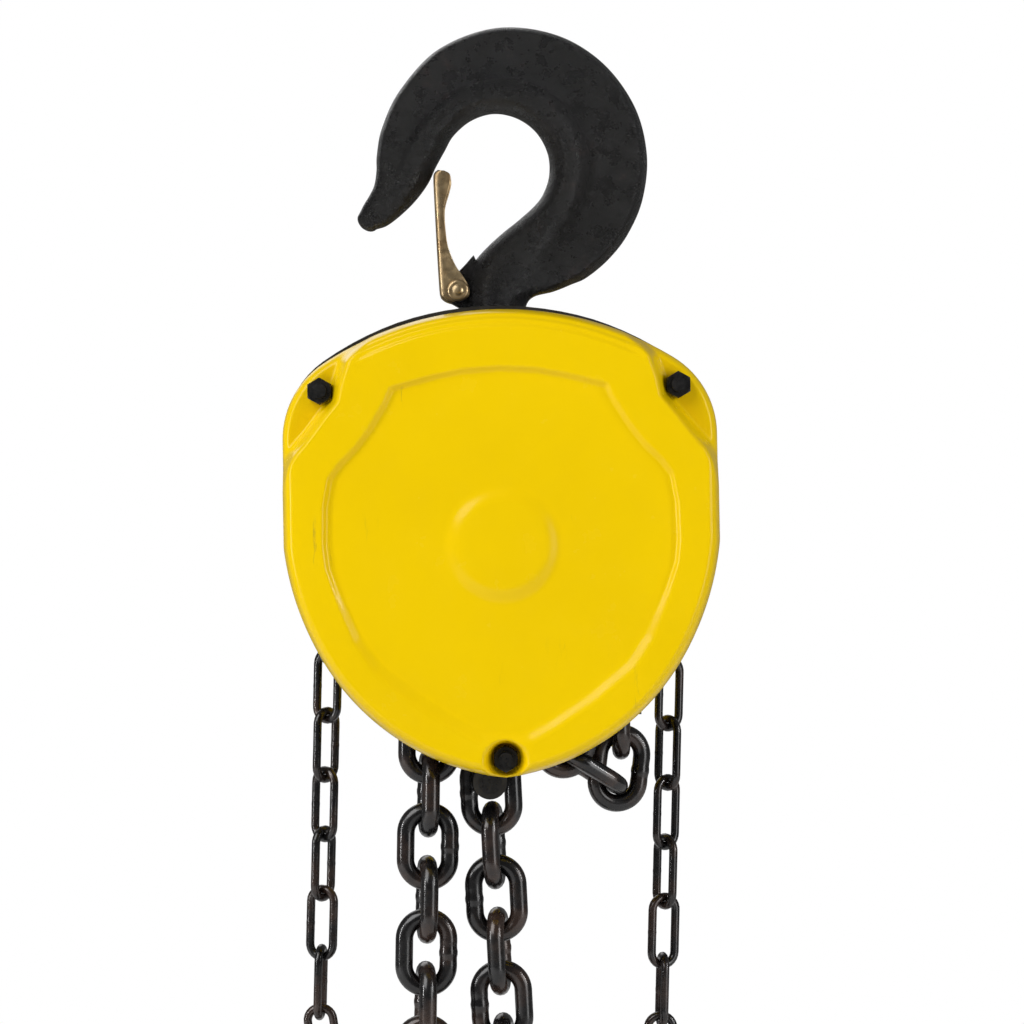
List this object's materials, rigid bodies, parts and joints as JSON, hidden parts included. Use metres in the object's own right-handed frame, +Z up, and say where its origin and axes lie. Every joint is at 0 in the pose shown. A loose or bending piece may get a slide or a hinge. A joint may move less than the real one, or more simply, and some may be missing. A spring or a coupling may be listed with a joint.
{
  "type": "chain hoist",
  "caption": "Hand chain hoist with two chain falls, pressed covers, a latched top hook and a hook block below.",
  "frame": {"origin": "centre of the top hook's seat, where the support passes", "axes": "+Z up, +X to the right seen from the gear cover side, +Y from the gear cover to the hand wheel"},
  "size_m": [0.2422, 0.181, 0.9152],
  "materials": {
    "forged_black": "black scale, rough, satin on the raised parts",
    "chain_black": "black oxide, oiled, semi-gloss with brown tints",
    "cover_yellow": "glossy yellow enamel on pressed steel, faint scuffs",
    "frame_black": "satin black paint",
    "latch_zinc": "yellow passivated zinc, bright at the bend",
    "machined_steel": "turned and ground steel, oiled",
    "gear_steel": "cut teeth, greased",
    "nut_black": "black oxide fasteners, satin",
    "wheel_iron": "cast iron with dark primer",
    "bush_bronze": "bearing bronze",
    "friction_lining": "woven brake lining, matt brown",
    "spring_steel": "drawn spring wire"
  },
  "bodies": {
    "top_hook": {"top_hook": "forged_black", "top_hook_nut": "nut_black", "top_hook_bearing": "machined_steel", "top_latch_pin": "latch_zinc", "top_latch_spring": "spring_steel"},
    "top_latch": {"top_latch": "latch_zinc"},
    "yoke": {"top_yoke": "forged_black"},
    "frame": {"gear_side_plate": "frame_black", "wheel_side_plate": "frame_black", "stay_bolts": "nut_black", "stay_sleeves": "nut_black", "cover_studs": "nut_black", "cover_nuts": "nut_black", "chain_anchor_pin": "nut_black", "tail_anchor": "frame_black", "tail_pin": "machined_steel", "chain_stripper": "wheel_iron", "guide_pins": "machined_steel", "sheave_bushes": "bush_bronze", "gear_bearing_plate": "frame_black", "gear_cover": "cover_yellow", "ratchet_disc": "gear_steel", "pawl_pins": "machined_steel", "pawl_springs": "spring_steel", "hand_wheel_cover": "cover_yellow", "chain_guides": "frame_black", "sheave_chain": "chain_black", "live_fall_upper": "chain_black", "dead_fall_upper": "chain_black", "slack_chain": "chain_black", "hand_chain": "chain_black"},
    "pawl_left": {"pawl_left": "gear_steel"},
    "pawl_right": {"pawl_right": "gear_steel"},
    "guide_roller_left": {"guide_roller_left": "machined_steel"},
    "guide_roller_right": {"guide_roller_right": "machined_steel"},
    "hand_wheel": {"hand_wheel": "wheel_iron", "drive_shaft": "machined_steel", "brake_hub": "machined_steel", "friction_discs": "friction_lining", "castle_nut": "machined_steel", "split_pin": "machined_steel"},
    "load_sheave": {"load_sheave": "wheel_iron", "load_gear": "gear_steel"},
    "disc_gear_left": {"disc_gear_left": "gear_steel"},
    "disc_gear_right": {"disc_gear_right": "gear_steel"},
    "live_fall": {"live_fall_lower": "chain_black"},
    "dead_fall": {"dead_fall_lower": "chain_black"},
    "bottom_block": {"block_shell_front": "frame_black", "block_shell_rear": "frame_black", "block_bolts": "nut_black", "block_nuts": "nut_black", "idler_bushes": "bush_bronze", "idler_chain": "chain_black", "bottom_hook_bearing": "machined_steel"},
    "idler_sheave": {"idler_sheave": "wheel_iron"},
    "bottom_hook": {"bottom_hook": "forged_black", "bottom_hook_nut": "nut_black", "bottom_latch_pin": "latch_zinc", "bottom_latch_spring": "spring_steel"},
    "bottom_latch": {"bottom_latch": "latch_zinc"}
  },
  "joints": [
    {"name": "hook_swivel", "type": "hinge", "parent": "top_hook", "child": "yoke", "pos_m": [0, 0, -0.12], "axis": [0, 0, 1], "continuous": true},
    {"name": "body_swing", "type": "hinge", "parent": "yoke", "child": "frame", "pos_m": [0, 0, -0.12], "axis": [0, 1, 0], "range_deg": [-8, 8]},
    {"name": "top_latch_open", "type": "hinge", "parent": "top_hook", "child": "top_latch", "pos_m": [-0.022, 0, -0.0694], "axis": [0, 1, 0], "range_deg": [0, 35], "stiffness_Nm_per_rad": 0.3, "springref_deg": -20.05},
    {"name": "hand_wheel_turn", "type": "hinge", "parent": "frame", "child": "hand_wheel", "pos_m": [0, 0, -0.212], "axis": [0, 1, 0], "range_deg": [0, 12600], "deforming": ["sheave_chain", "live_fall_upper", "dead_fall_upper", "slack_chain", "hand_chain"]},
    {"name": "load_sheave_turn", "type": "hinge", "parent": "frame", "child": "load_sheave", "pos_m": [0, 0, -0.212], "axis": [0, 1, 0], "range_deg": [-0.01, 360.01]},
    {"name": "disc_gear_left_turn", "type": "hinge", "parent": "frame", "child": "disc_gear_left", "pos_m": [-0.054, 0, -0.212], "axis": [0, 1, 0], "range_deg": [-2520.1, 0.1]},
    {"name": "disc_gear_right_turn", "type": "hinge", "parent": "frame", "child": "disc_gear_right", "pos_m": [0.054, 0, -0.212], "axis": [0, 1, 0], "range_deg": [-2520.1, 0.1]},
    {"name": "hook_lift", "type": "slide", "parent": "frame", "child": "bottom_block", "axis": [0, 0, 1], "range_m": [-0.00001, 0.12001]},
    {"name": "live_fall_lift", "type": "slide", "parent": "frame", "child": "live_fall", "axis": [0.0325, 0, 0.9995], "range_m": [-0.00001, 0.12001], "deforming": ["live_fall_lower"]},
    {"name": "dead_fall_lift", "type": "slide", "parent": "frame", "child": "dead_fall", "axis": [-0.0325, 0, 0.9995], "range_m": [-0.00001, 0.12001], "deforming": ["dead_fall_lower"]},
    {"name": "idler_turn", "type": "hinge", "parent": "bottom_block", "child": "idler_sheave", "pos_m": [-0.0295, 0, -0.59274], "axis": [0, 1, 0], "range_deg": [-0.01, 240.01], "deforming": ["idler_chain"]},
    {"name": "bottom_hook_swivel", "type": "hinge", "parent": "bottom_block", "child": "bottom_hook", "pos_m": [-0.0295, 0, -0.67274], "axis": [0, 0, 1], "continuous": true},
    {"name": "bottom_latch_open", "type": "hinge", "parent": "bottom_hook", "child": "bottom_latch", "pos_m": [-0.0075, 0, -0.68634], "axis": [0, 1, 0], "range_deg": [0, 35], "stiffness_Nm_per_rad": 0.3, "springref_deg": -20.05},
    {"name": "pawl_left_lift", "type": "hinge", "parent": "frame", "child": "pawl_left", "pos_m": [-0.052, 0, -0.166], "axis": [0, 1, 0], "range_deg": [-20, 0], "stiffness_Nm_per_rad": 0.05, "springref_deg": 22.92},
    {"name": "pawl_right_lift", "type": "hinge", "parent": "frame", "child": "pawl_right", "pos_m": [0.052, 0, -0.258], "axis": [0, 1, 0], "range_deg": [-20, 0], "stiffness_Nm_per_rad": 0.05, "springref_deg": 22.92},
    {"name": "guide_roller_left_spin", "type": "hinge", "parent": "frame", "child": "guide_roller_left", "pos_m": [-0.064, 0, -0.188], "axis": [0, 1, 0], "continuous": true},
    {"name": "guide_roller_right_spin", "type": "hinge", "parent": "frame", "child": "guide_roller_right", "pos_m": [0.064, 0, -0.188], "axis": [0, 1, 0], "continuous": true}
  ],
  "couplings": [
    {"joint": "load_sheave_turn", "follows": "hand_wheel_turn", "ratio": 0.028571},
    {"joint": "disc_gear_left_turn", "follows": "hand_wheel_turn", "ratio": -0.2},
    {"joint": "disc_gear_right_turn", "follows": "hand_wheel_turn", "ratio": -0.2},
    {"joint": "hook_lift", "follows": "hand_wheel_turn", "m_per_rad": 0.00054567},
    {"joint": "live_fall_lift", "follows": "hand_wheel_turn", "m_per_rad": 0.00054567},
    {"joint": "dead_fall_lift", "follows": "hand_wheel_turn", "m_per_rad": 0.00054567},
    {"joint": "idler_turn", "follows": "hand_wheel_turn", "ratio": 0.019048}
  ]
}
